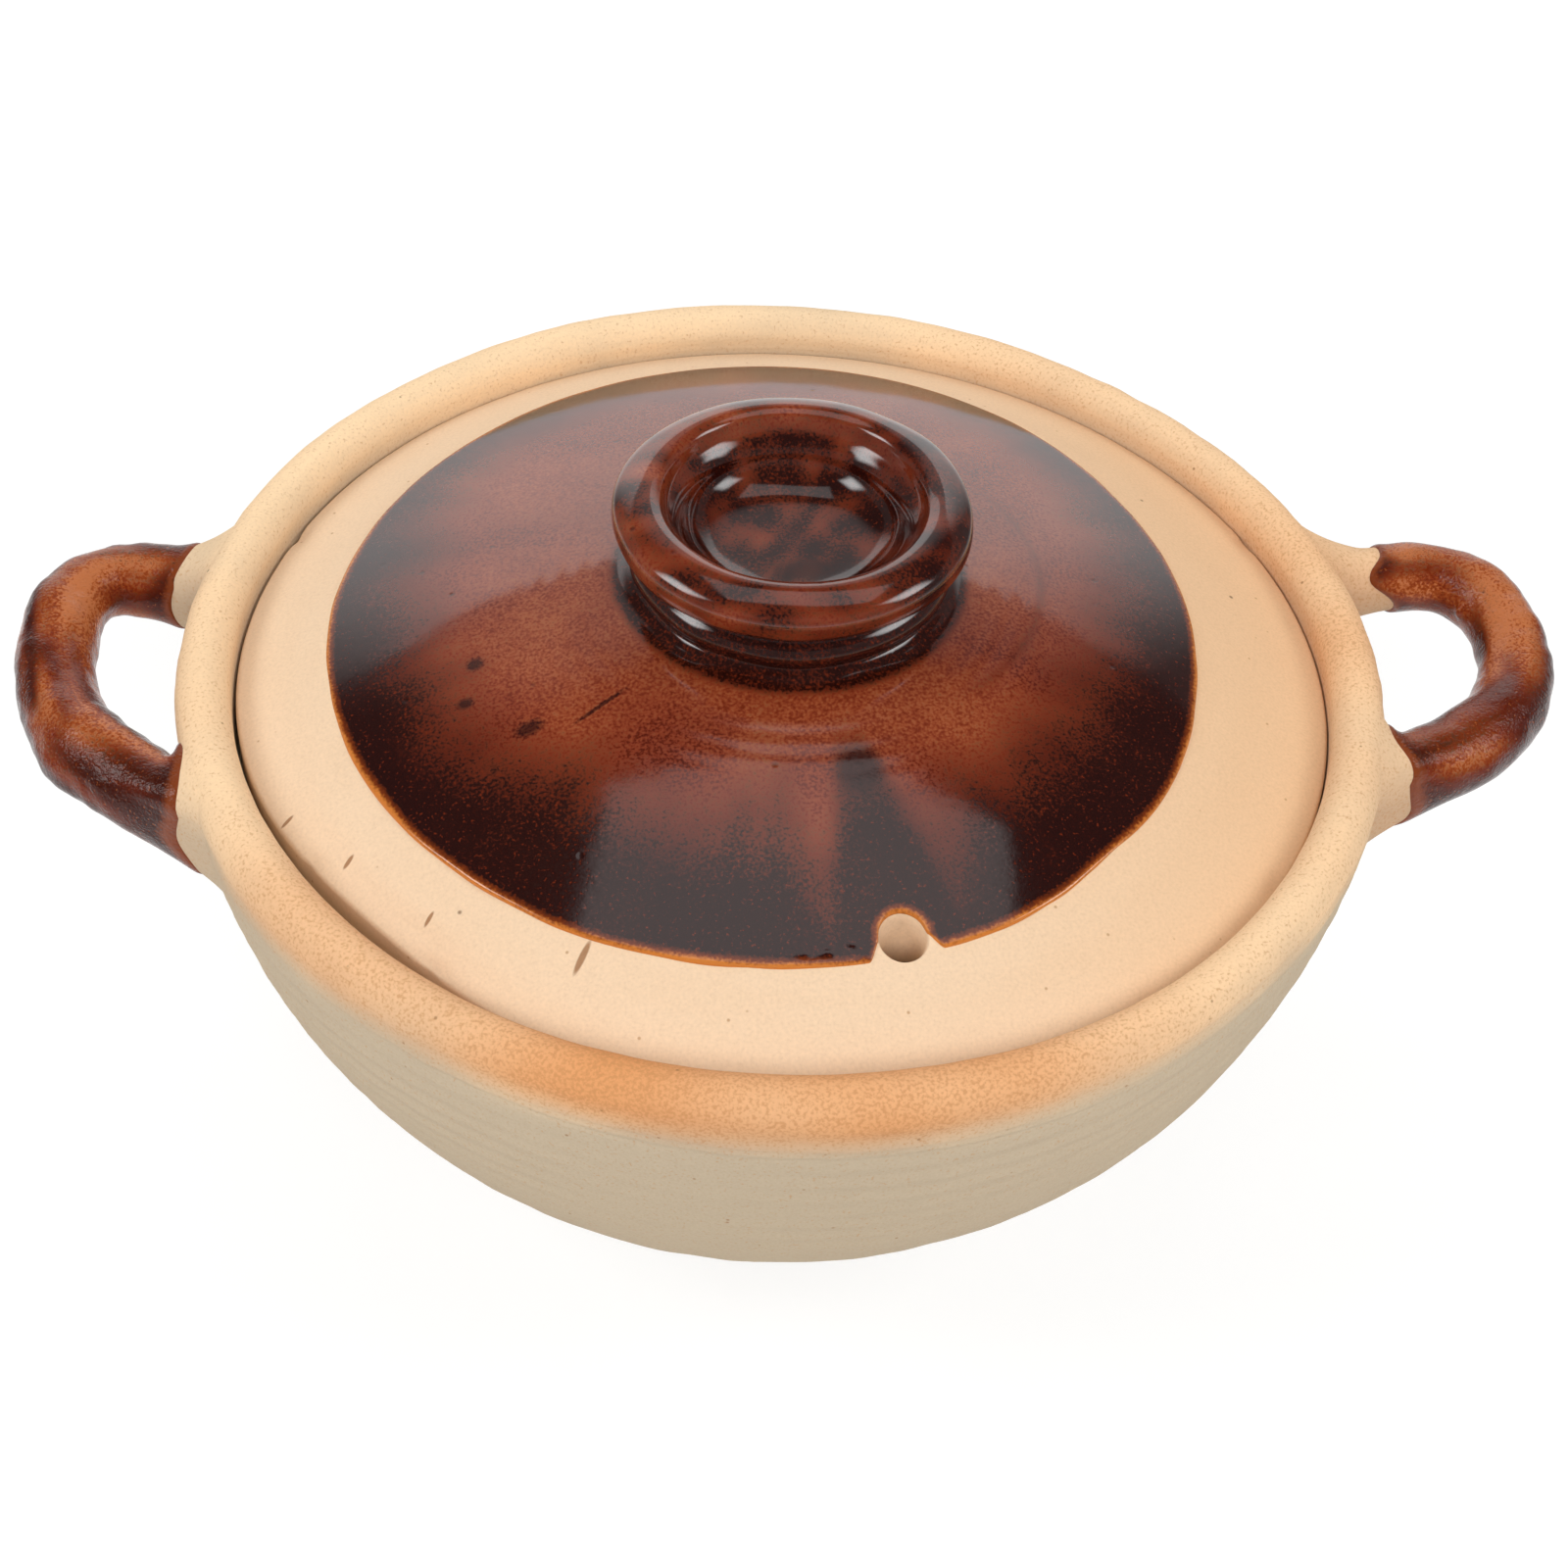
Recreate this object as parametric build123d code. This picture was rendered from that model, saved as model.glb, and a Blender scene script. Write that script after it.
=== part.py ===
from build123d import *
import os
from math import cos, radians, sin, sqrt

# Two-handled clay pot with a lift-off lid, in millimetres.
# The origin is the middle of the flat base, Z is up, and the handles lie along X.

# Bowl
RIM_RADIUS = 100.0  # outermost point of the lip
RIM_HEIGHT = 81.0  # top of the lip above the table
LIP_ROUND = 4.3  # the lip is a full round of this radius
BASE_RADIUS = 48.0  # flat underside
BASE_THICKNESS = 8.0
WALL_THICKNESS = 7.0
BASE_SPREAD = 12.0  # degrees above level at which the wall leaves the base
BELLY_TURN = 71.0  # degrees at which the tight lower curve meets the long upper one
RIM_STEEPNESS = 87.2  # degrees at which the wall runs into the lip

# Ledge inside the lip that carries the lid
SEAT_DEPTH = 15.0  # top of the ledge below the top of the lip
SEAT_WIDTH = 11.0
LEDGE_THICKNESS = 7.0  # upright face of the ledge, above its sloping underside
LEDGE_ROUND = 1.5

# Lid
LID_CLEARANCE = 1.4  # gap all round between the lid and the inside of the lip
LID_EDGE_HEIGHT = 8.0
LID_EDGE_ROUND = 3.0
LID_RING_WIDTH = 11.0  # flat ring under the lid, which rests on the ledge
LID_RISE = 20.5  # foot of the knob above the edge of the lid
LID_THICKNESS = 7.0
DOME_BULGE = 1.6  # how far the dome bows out of a straight cone

# Steam vent through the lid
VENT_DIAMETER = 7.0
VENT_INSET = 20.0  # middle of the vent in from the edge of the lid
VENT_ANGLE = -79.3  # degrees from the right handle

# Knob, a small cup with a rolled ring above a foot bead
KNOB_HEIGHT = 15.6
KNOB_RADIUS = 28.4
KNOB_RING_ROUND = 3.9
KNOB_NECK_INSET = 5.0  # neck and foot, in from the outside of the ring
KNOB_BEAD_INSET = 3.8
KNOB_BEAD_ROUND = 2.8
CUP_FLOOR_THICKNESS = 4.2  # clay between the cup and the lid

# Handles, half-round loops of rolled clay with flared roots
HANDLE_LENGTH = 31.4  # how far a loop stands out from the lip
HANDLE_ROUND = 6.1  # radius of the roll
HANDLE_HALF_SPAN = 25.0  # from the X axis to the middle of each arm
HANDLE_DROP = 10.0  # middle of the roll below the top of the lip
ROOT_HALF_HEIGHT = 11.5
ROOT_HALF_WIDTH = 9.5
ROOT_DROP = 4.0  # middle of a root below the middle of the roll
ROOT_FADE = 50.0  # degrees round the loop over which a root tapers to the roll
ROOT_SINK = 8.0  # how far the root form runs into the wall before it is trimmed
HANDLE_STATIONS = 8  # steps from one root round to the other

# Glaze
GLAZE_THICKNESS = 0.6
LID_BARE_BAND = (17.9, 12.7)  # mean width of bare clay at the sides, and at the front and back
LID_GLAZE_SHIFT = (-3.9, 3.7)  # the dipped patch lies off the middle of the lid
VENT_BARE_RING = 0.6  # clay left bare round the vent
HANDLE_GLAZE_GAP = 3.5  # clay left bare between the lip and the glaze on a handle

# Sizes that follow from those above
LIP_CENTRE = (RIM_RADIUS - LIP_ROUND, RIM_HEIGHT - LIP_ROUND)
GALLERY_RADIUS = RIM_RADIUS - 2 * LIP_ROUND
SEAT_HEIGHT = RIM_HEIGHT - SEAT_DEPTH
MOUTH_RADIUS = GALLERY_RADIUS - SEAT_WIDTH
LID_RADIUS = GALLERY_RADIUS - LID_CLEARANCE
LID_EDGE_TOP = SEAT_HEIGHT + LID_EDGE_HEIGHT
DOME_TOP = LID_EDGE_TOP + LID_RISE
LID_GLAZE_RADII = [LID_RADIUS - width for width in LID_BARE_BAND]
VENT_REACH = LID_RADIUS - VENT_INSET
KNOB_TOP = DOME_TOP + KNOB_HEIGHT
KNOB_NECK_RADIUS = KNOB_RADIUS - KNOB_NECK_INSET
HANDLE_HEIGHT = RIM_HEIGHT - HANDLE_DROP
HANDLE_REACH = RIM_RADIUS + HANDLE_LENGTH


def turned(profile):
    """Solid of a profile drawn as radius and height, turned about Z."""
    return revolve(Plane.XZ * profile, axis=Axis.Z)


def block(inner, outer, low, high):
    """Rectangle from two radii and two heights."""
    corners = [(inner, low), (outer, low), (outer, high), (inner, high)]
    return make_face(Polyline(*corners, close=True))


def outward(angle):
    """Unit vector square to a wall that climbs at an angle, away from the inside of the bowl."""
    return Vector(sin(radians(angle)), -cos(radians(angle)))


def wall_curves():
    """Centres and radii of the two tangent arcs of the bowl's outside."""
    start = Vector(BASE_RADIUS, 0)
    end = Vector(*LIP_CENTRE) + outward(RIM_STEEPNESS) * LIP_ROUND
    step = end - start
    low = outward(BELLY_TURN) - outward(BASE_SPREAD)
    high = outward(RIM_STEEPNESS) - outward(BELLY_TURN)
    whole = low.X * high.Y - low.Y * high.X
    low_radius = (step.X * high.Y - step.Y * high.X) / whole
    high_radius = (low.X * step.Y - low.Y * step.X) / whole
    low_centre = start - outward(BASE_SPREAD) * low_radius
    high_centre = end - outward(RIM_STEEPNESS) * high_radius
    return low_centre, low_radius, high_centre, high_radius


def wall_arcs(depth):
    """The two wall arcs, moved into the clay by a depth."""
    low_centre, low_radius, high_centre, high_radius = wall_curves()
    arcs = []
    for centre, radius, first, last in (
        (low_centre, low_radius - depth, BASE_SPREAD, BELLY_TURN),
        (high_centre, high_radius - depth, BELLY_TURN, RIM_STEEPNESS),
    ):
        angles = (first, (first + last) / 2, last)
        arcs.append(ThreePointArc(*[centre + outward(angle) * radius for angle in angles]))
    return arcs


def bowl_outline():
    """Bowl from the axis to its outside, solid up to the ledge."""
    arcs = wall_arcs(0)
    lip_top = (LIP_CENTRE[0], RIM_HEIGHT)
    lip_inside = (GALLERY_RADIUS, LIP_CENTRE[1])
    lip = ThreePointArc(arcs[1] @ 1, lip_top, lip_inside)
    inside = Polyline(lip_inside, (GALLERY_RADIUS, SEAT_HEIGHT), (0, SEAT_HEIGHT), (0, 0), arcs[0] @ 0)
    return make_face(arcs + [lip, inside])


def hollow_outline(depth, floor):
    """Room inside the bowl at a depth below its outside and above a floor."""
    arcs = wall_arcs(depth)
    low = arcs[0] @ 0
    high = arcs[1] @ 1
    closing = Polyline(high, (0, high.Y), (0, low.Y), low)
    return make_face(arcs + [closing]) & block(0, RIM_RADIUS, floor, SEAT_HEIGHT)


def ledge_outline():
    """Ledge with an upright nose and an underside that slopes back to the wall."""
    nose = SEAT_HEIGHT - LEDGE_THICKNESS
    run = RIM_RADIUS - MOUTH_RADIUS
    corners = [
        (MOUTH_RADIUS, SEAT_HEIGHT),
        (RIM_RADIUS, SEAT_HEIGHT),
        (RIM_RADIUS, nose - run),
        (MOUTH_RADIUS, nose),
    ]
    return make_face(Polyline(*corners, close=True))


def bowl_room(depth, floor):
    """Room inside the bowl below the lid's seat, clear of the ledge."""
    return hollow_outline(depth, floor) - ledge_outline()


def bowl_section():
    """Clay of the bowl with the nose of its ledge rounded."""
    section = bowl_outline() - bowl_room(WALL_THICKNESS, BASE_THICKNESS)
    nose = section.vertices().filter_by(lambda corner: abs(corner.X - MOUTH_RADIUS) < 1e-6)
    return fillet(nose, LEDGE_ROUND)


def ledge_foot():
    """Height at which the underside of the ledge leaves the wall."""
    return bowl_room(WALL_THICKNESS, BASE_THICKNESS).vertices().sort_by(Axis.X)[-1].Y


def bowl_slice(low, high):
    """The bowl between two heights: it is stacked from a base, a wall, a ledge and a lip."""
    return turned(bowl_section() & block(0, 2 * RIM_RADIUS, low, high))


def pot_base():
    return bowl_slice(-RIM_HEIGHT, BASE_THICKNESS)


def pot_wall():
    return bowl_slice(BASE_THICKNESS, ledge_foot())


def pot_ledge():
    return bowl_slice(ledge_foot(), SEAT_HEIGHT)


def pot_lip():
    return bowl_slice(SEAT_HEIGHT, 2 * RIM_HEIGHT)


def bowl_glaze():
    """Coat on the floor and the wall, up to the underside of the ledge."""
    coated = bowl_room(WALL_THICKNESS, BASE_THICKNESS)
    bare = bowl_room(WALL_THICKNESS + GLAZE_THICKNESS, BASE_THICKNESS + GLAZE_THICKNESS)
    return turned(coated - bare)


def dome(foot, edge):
    """Bowed line from the edge of the lid up to the foot of the knob."""
    start = Vector(*edge)
    end = Vector(*foot)
    along = (end - start).normalized()
    pull = (start + end) / 2 + Vector(along.Y, -along.X) * 2 * DOME_BULGE
    return Bezier(start, pull, end)


def dome_outline(edge_radius, edge_height, top_height):
    """Room under a dome, from the lid's seat to the dome and from the axis out."""
    edge = (edge_radius, edge_height)
    foot = (KNOB_NECK_RADIUS, top_height)
    corners = [foot, (0, top_height), (0, SEAT_HEIGHT), (edge_radius, SEAT_HEIGHT)]
    if edge_height > SEAT_HEIGHT:
        corners.append(edge)
    return make_face([dome(foot, edge), Polyline(*corners)])


def lid_outline():
    """Lid as if it were solid underneath, with its outer edge rounded."""
    section = dome_outline(LID_RADIUS, LID_EDGE_TOP, DOME_TOP)
    edge = section.vertices().filter_by(lambda corner: abs(corner.X - LID_RADIUS) < 1e-6)
    return fillet(edge, min(LID_EDGE_ROUND, LID_EDGE_HEIGHT / 2))


def vent(radius):
    """Upright cylinder at the steam vent, through the lid and its glaze."""
    place = Vector(VENT_REACH, 0).rotate(Axis.Z, VENT_ANGLE)
    length = KNOB_TOP - SEAT_HEIGHT
    return Pos(place.X, place.Y, SEAT_HEIGHT + length / 2) * Cylinder(radius, length)


def lid():
    hollow = dome_outline(LID_RADIUS - LID_RING_WIDTH, SEAT_HEIGHT, DOME_TOP - LID_THICKNESS)
    return turned(lid_outline() - hollow) - vent(VENT_DIAMETER / 2)


def knob_outline():
    """Foot, bead, neck and rolled ring, less the cup."""
    ring_radius = KNOB_RADIUS - KNOB_RING_ROUND
    ring_height = KNOB_TOP - KNOB_RING_ROUND
    bead_radius = KNOB_RADIUS - KNOB_BEAD_INSET - KNOB_BEAD_ROUND
    bead_height = DOME_TOP + KNOB_BEAD_ROUND
    body = block(0, KNOB_NECK_RADIUS, DOME_TOP, ring_height)
    body += Pos(bead_radius, bead_height) * Circle(KNOB_BEAD_ROUND)
    body += Pos(ring_radius, ring_height) * Circle(KNOB_RING_ROUND)
    return body - cup_outline(ring_radius - KNOB_RING_ROUND, ring_height)


def cup_outline(brim_radius, brim_height):
    """Hollow of the knob: a flat floor that curves up into the ring's inner side."""
    floor = DOME_TOP + CUP_FLOOR_THICKNESS
    bend = brim_height - floor
    floor_radius = brim_radius - bend
    wall = CenterArc((floor_radius, brim_height), bend, -90, 90)
    corners = [(brim_radius, brim_height), (0, brim_height), (0, floor), (floor_radius, floor)]
    return make_face([wall, Polyline(*corners)])


def lid_knob():
    return turned(knob_outline())


def lid_glaze():
    """Coat over the knob and the dome, inside an oval, off-centre dipping line."""
    clay = lid_outline() + knob_outline()
    raised = dome_outline(LID_RADIUS, LID_EDGE_TOP + GLAZE_THICKNESS, DOME_TOP + GLAZE_THICKNESS)
    coat = offset(knob_outline(), amount=GLAZE_THICKNESS) & block(0, LID_RADIUS, DOME_TOP, 2 * KNOB_TOP)
    patch = Pos(*LID_GLAZE_SHIFT) * extrude(Ellipse(*LID_GLAZE_RADII), 2 * KNOB_TOP)
    return (turned(raised + coat - clay) & patch) - vent(VENT_DIAMETER / 2 + VENT_BARE_RING)


def handle_section(turn, sink, skin):
    """Oval across the loop at an angle round it, with its long way upright."""
    arm_start = sqrt(RIM_RADIUS**2 - HANDLE_HALF_SPAN**2)
    reach = HANDLE_REACH - HANDLE_ROUND - arm_start
    angle = radians(turn)
    from_root = min(turn, 180 - turn)
    flare = max(0.0, 1 - from_root / ROOT_FADE) ** 2
    place = Vector(
        arm_start + reach * sin(angle) - sink,
        HANDLE_HALF_SPAN * cos(angle),
        HANDLE_HEIGHT - ROOT_DROP * flare,
    )
    along = Vector(reach * cos(angle), -HANDLE_HALF_SPAN * sin(angle))
    half_height = HANDLE_ROUND + (ROOT_HALF_HEIGHT - HANDLE_ROUND) * flare + skin
    half_width = HANDLE_ROUND + (ROOT_HALF_WIDTH - HANDLE_ROUND) * flare + skin
    return Plane(origin=place, x_dir=(0, 0, 1), z_dir=along) * Ellipse(half_height, half_width)


def loop(skin):
    """Right-hand loop from inside the wall out and back, thickened by a skin."""
    turns = [180 * step / HANDLE_STATIONS for step in range(HANDLE_STATIONS + 1)]
    sections = [handle_section(turn, 0, skin) for turn in turns]
    sections.insert(0, handle_section(0, ROOT_SINK, skin))
    sections.append(handle_section(180, ROOT_SINK, skin))
    return loft(sections)


def right_handle():
    """Loop trimmed where its roots meet the outside of the bowl."""
    mouth = block(0, LIP_CENTRE[0], SEAT_HEIGHT, 2 * RIM_HEIGHT)
    return loop(0) - turned(bowl_outline() + mouth)


def right_handle_glaze():
    """Coat on the loop, outside a plane that leaves its roots bare."""
    width = 4 * HANDLE_REACH
    bare_end = RIM_RADIUS + HANDLE_GLAZE_GAP
    outside = Pos(bare_end + width / 2, 0, HANDLE_HEIGHT) * Box(width, width, width)
    return (loop(GLAZE_THICKNESS) & outside) - loop(0)


nodes = {
    "pot_base": pot_base(),
    "pot_wall": pot_wall(),
    "pot_ledge": pot_ledge(),
    "pot_lip": pot_lip(),
    "bowl_glaze": bowl_glaze(),
    "lid": lid(),
    "lid_knob": lid_knob(),
    "lid_glaze": lid_glaze(),
    "right_handle": right_handle(),
    "right_handle_glaze": right_handle_glaze(),
}
nodes["left_handle"] = mirror(nodes["right_handle"], about=Plane.YZ)
nodes["left_handle_glaze"] = mirror(nodes["right_handle_glaze"], about=Plane.YZ)

os.makedirs("parts", exist_ok=True)
for name, solid in nodes.items():
    export_step(solid, f"parts/{name}.step")
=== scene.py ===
import math
from math import radians
import bpy
import numpy as np
from mathutils import Matrix, Vector


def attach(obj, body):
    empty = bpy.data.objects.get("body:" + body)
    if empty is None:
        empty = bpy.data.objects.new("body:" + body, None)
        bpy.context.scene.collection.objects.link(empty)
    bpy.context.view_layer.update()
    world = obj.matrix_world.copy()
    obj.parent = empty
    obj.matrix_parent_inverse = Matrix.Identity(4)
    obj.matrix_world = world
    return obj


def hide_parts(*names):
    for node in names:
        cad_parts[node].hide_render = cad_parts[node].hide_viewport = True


# Two-handled clay pot with a lift-off lid, in metres: the handles lie along X and the steam vent faces -Y.
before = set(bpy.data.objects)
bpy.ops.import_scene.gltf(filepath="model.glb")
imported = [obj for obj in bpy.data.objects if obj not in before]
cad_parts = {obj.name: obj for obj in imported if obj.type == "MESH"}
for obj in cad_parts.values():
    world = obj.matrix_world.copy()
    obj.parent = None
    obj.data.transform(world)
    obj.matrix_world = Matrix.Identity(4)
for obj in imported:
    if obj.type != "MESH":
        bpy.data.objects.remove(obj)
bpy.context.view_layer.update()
scene = bpy.context.scene
mm = 0.001
fullTurn = 2 * math.pi


def linear(hexColour):
    # sRGB to linear light: a twelfth and a bit for the darkest tones, a power of 2.4 above them
    tone = np.array([int(hexColour[i:i + 2], 16) for i in (1, 3, 5)]) / 255
    light = np.where(tone <= 0.04045, tone / 12.92, ((tone + 0.055) / 1.055) ** 2.4)
    return (*light.tolist(), 1.0)


def rise(low, high, value):
    # smooth step: 0 below low, 1 above high, and 3tt - 2ttt between them
    t = np.clip((value - low) / (high - low), 0, 1)
    return t * t * (3 - 2 * t)


def hump(middle, width, value):
    # bell curve of height 1 around the middle
    return np.exp(-((value - middle) / width) ** 2)


def apart(angle, other):
    # difference of two angles, from minus to plus half a turn
    return (angle - other + math.pi) % fullTurn - math.pi


def near(degrees, width, angle):
    # bell curve round a place, both in degrees
    return hump(0, radians(width), apart(angle, radians(degrees)))


def unit(vectors):
    # vectors divided by their lengths
    return vectors / np.linalg.norm(vectors, axis=-1, keepdims=True)


def lumps(seed, points, size, count=18):
    # uneven hand-made surface: a sum of sine waves in seeded directions, about size long, of height about 1
    random = np.random.default_rng(seed)
    direction = unit(random.normal(size=(count, 3)))
    pace = fullTurn / (size * random.uniform(0.6, 1.7, count))
    phase = random.uniform(0, fullTurn, count)
    return np.sin(points @ (direction * pace[:, None]).T + phase).sum(-1) * math.sqrt(2 / count)


def turns(count):
    # even angles of one full turn
    return np.linspace(0, fullTurn, count, endpoint=False)


def arc(centre, radius, first, last, count):
    # points on a circle between two angles in degrees
    angle = np.radians(line(first, last, count))
    return np.stack([centre[0] + radius * np.cos(angle), centre[1] + radius * np.sin(angle)], 1)


def line(start, end, count):
    # even steps between two numbers or two points
    return np.linspace(start, end, count)


def curve(points, count):
    # Catmull-Rom curve: each span blends its two ends and the mean slopes there
    points = np.asarray(points, float)
    wide = np.vstack([2 * points[0] - points[1], points, 2 * points[-1] - points[-2]])
    t = line(0, len(points) - 1, count)
    i = np.minimum(t.astype(int), len(points) - 2)
    u = (t - i)[:, None]
    a, b, c, d = wide[i], wide[i + 1], wide[i + 2], wide[i + 3]
    return 0.5 * (2 * b + (c - a) * u + (2 * a - 5 * b + 4 * c - d) * u**2 + (3 * b - a - 3 * c + d) * u**3)


def chain(*runs):
    # runs of points joined, without doubled points
    path = np.vstack(runs)
    keep = np.r_[True, np.linalg.norm(np.diff(path, axis=0), axis=1) > 1e-6]
    return path[keep]


def runLength(path):
    # distance walked along a path at each of its points
    return np.r_[0, np.cumsum(np.linalg.norm(np.diff(path, axis=0), axis=1))]


def alongPath(place, run, path):
    # points of a path at the given places of its run
    return np.stack([np.interp(place, run, column) for column in path.T], -1)


def sideways(path):
    # unit vectors to the right of a path of radius and height
    step = unit(np.gradient(path, axis=0))
    return np.stack([step[:, 1], -step[:, 0]], 1)


def polar(radius, angle, height):
    # points from a radius, an angle about Z and a height
    return np.stack(np.broadcast_arrays(radius * np.cos(angle), radius * np.sin(angle), height), -1)


def spun(path, angle, lift=0.0):
    # surface of revolution: radius and height turned about Z, raised by lift to the right of the path
    side = sideways(path)
    return polar(path[:, 0, None] + side[:, 0, None] * lift, angle, path[:, 1, None] + side[:, 1, None] * lift)


def link(name, data):
    # object in the scene's collection
    made = bpy.data.objects.new(name, data)
    scene.collection.objects.link(made)
    return made


def smoothMesh(name, points, faces):
    # object with a smooth mesh
    mesh = bpy.data.meshes.new(name)
    mesh.from_pydata(points.tolist(), [], faces)
    mesh.shade_smooth()
    return link(name, mesh)


def piece(name, grid, body, replaced, poles=True, marks=None):
    # closed skin over a grid whose columns run round: its first and last rows are poles, or else its rows join too
    rows, columns = grid.shape[:2]
    index = np.arange(rows * columns).reshape(rows, columns)
    if poles:
        index[[0, -1]] = index[[0, -1], :1]
    used, index = np.unique(index, return_inverse=True)
    index = index.reshape(rows, columns)
    points = grid.reshape(-1, 3)[used]
    low, high = (index[:-1], index[1:]) if poles else (index, np.roll(index, -1, 0))
    quads = np.stack([low, np.roll(low, -1, 1), np.roll(high, -1, 1), high], -1).reshape(-1, 4)
    corner = points[quads]
    volume = sum((corner[:, 0] * np.cross(corner[:, i], corner[:, i + 1])).sum() for i in (1, 2))
    blocks = [quads]
    if poles:
        blocks = [quads[:columns, [0, 2, 3]], quads[columns:-columns], quads[-columns:, :3]]
    order = 1 if volume > 0 else -1
    faces = [face for block in blocks for face in block[:, ::order].tolist()]
    made = smoothMesh(name, points, faces)
    for label, value in (marks or {}).items():
        flat = value.reshape(rows * columns, -1)[used].astype(np.float32)
        kind, field = ("FLOAT", "value") if flat.shape[1] == 1 else ("FLOAT_VECTOR", "vector")
        made.data.attributes.new(label, kind, "POINT").data.foreach_set(field, flat.ravel())
    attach(made, body)
    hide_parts(*replaced)
    print(name, len(points), "points")
    return made


# Bowl: thrown clay with a rounded belly, a full-round lip and a ledge inside it for the lid.
# Wall angles are degrees from level; a flush is its place and width in degrees and its strength.
bowl = dict(
    rimRadius=100 * mm, rimHeight=81 * mm, lipRound=4.3 * mm,
    baseRadius=48 * mm, floorHeight=8 * mm, wallThickness=7 * mm, wallAngles=(12.0, 71.0, 87.2),
    seatHeight=66 * mm, seatRound=1.2 * mm,
    mouthRadius=80.4 * mm, noseHeight=59 * mm, noseRound=1.5 * mm,
    wobble=0.30 * mm, wobbleSize=120 * mm, grain=0.05 * mm, grainSize=7 * mm,
    ringDepth=0.10 * mm, ringPitch=4.6 * mm, grooveDepth=0.10 * mm, groovePitch=1.3 * mm,
    cutHeights=(69.6 * mm, 71.4 * mm), cutDepth=0.22 * mm, cutWidth=0.35 * mm, cutAngle=-95,
    flush=((-102, 38, 1.30), (2, 32, 0.50), (56, 16, 0.22), (180, 16, 0.12)),
    flushHeights=(69 * mm, 78 * mm), flushPatch=0.15, patchSize=28 * mm,
    rootAngle=17, rootWidth=0.2, rootFlush=13 * mm,
    baseRows=8, wallRows=(46, 120), innerRows=(190, 210), columns=280, seed=11,
    linerFaces=(-0.3 * mm, 0.5 * mm), linerColumns=200,
)


def away(angle):
    # unit vector square to a wall that climbs at an angle in degrees
    return np.array([math.sin(radians(angle)), -math.cos(radians(angle))])


def lipCentre(part=bowl):
    # radius and height of the middle of the round lip
    return np.array([part["rimRadius"] - part["lipRound"], part["rimHeight"] - part["lipRound"]])


def wallRuns(depth, counts, part=bowl):
    # two tangent arcs from the base to the lip, moved into the clay by depth
    angles = part["wallAngles"]
    start = np.array([part["baseRadius"], 0.0])
    end = lipCentre() + away(angles[2]) * part["lipRound"]
    spans = np.stack([away(angles[1]) - away(angles[0]), away(angles[2]) - away(angles[1])], 1)
    radii = np.linalg.solve(spans, end - start)
    centres = [start - away(angles[0]) * radii[0], end - away(angles[2]) * radii[1]]
    return [arc(centres[i], radii[i] - depth, angles[i] - 90, angles[i + 1] - 90, counts[i]) for i in (0, 1)]


def innerWall(depth, level, counts, part=bowl):
    # inside of the wall from a level up to the ledge
    run = np.vstack(wallRuns(depth, counts))
    return run[(run.sum(1) < part["mouthRadius"] + part["noseHeight"]) & (run[:, 1] > level)]


def byRoots(angle, part=bowl):
    # 1 at the roots of the handles, 0 away from them
    turn = np.minimum(abs(apart(angle, 0)), abs(apart(angle, math.pi)))
    return hump(radians(part["rootAngle"]), part["rootWidth"], turn)


def flushAt(points, part=bowl):
    # how far the fire flushed the clay orange: only round the rim, most at a few places
    angle = np.arctan2(points[..., 1], points[..., 0])
    flush = sum(depth * near(place, width, angle) for place, width, depth in part["flush"])
    level = points[..., 2] + part["rootFlush"] * byRoots(angle)
    patchy = 1 + part["flushPatch"] * lumps(9, points, part["patchSize"])
    return flush * patchy * rise(*part["flushHeights"], level)


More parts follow.
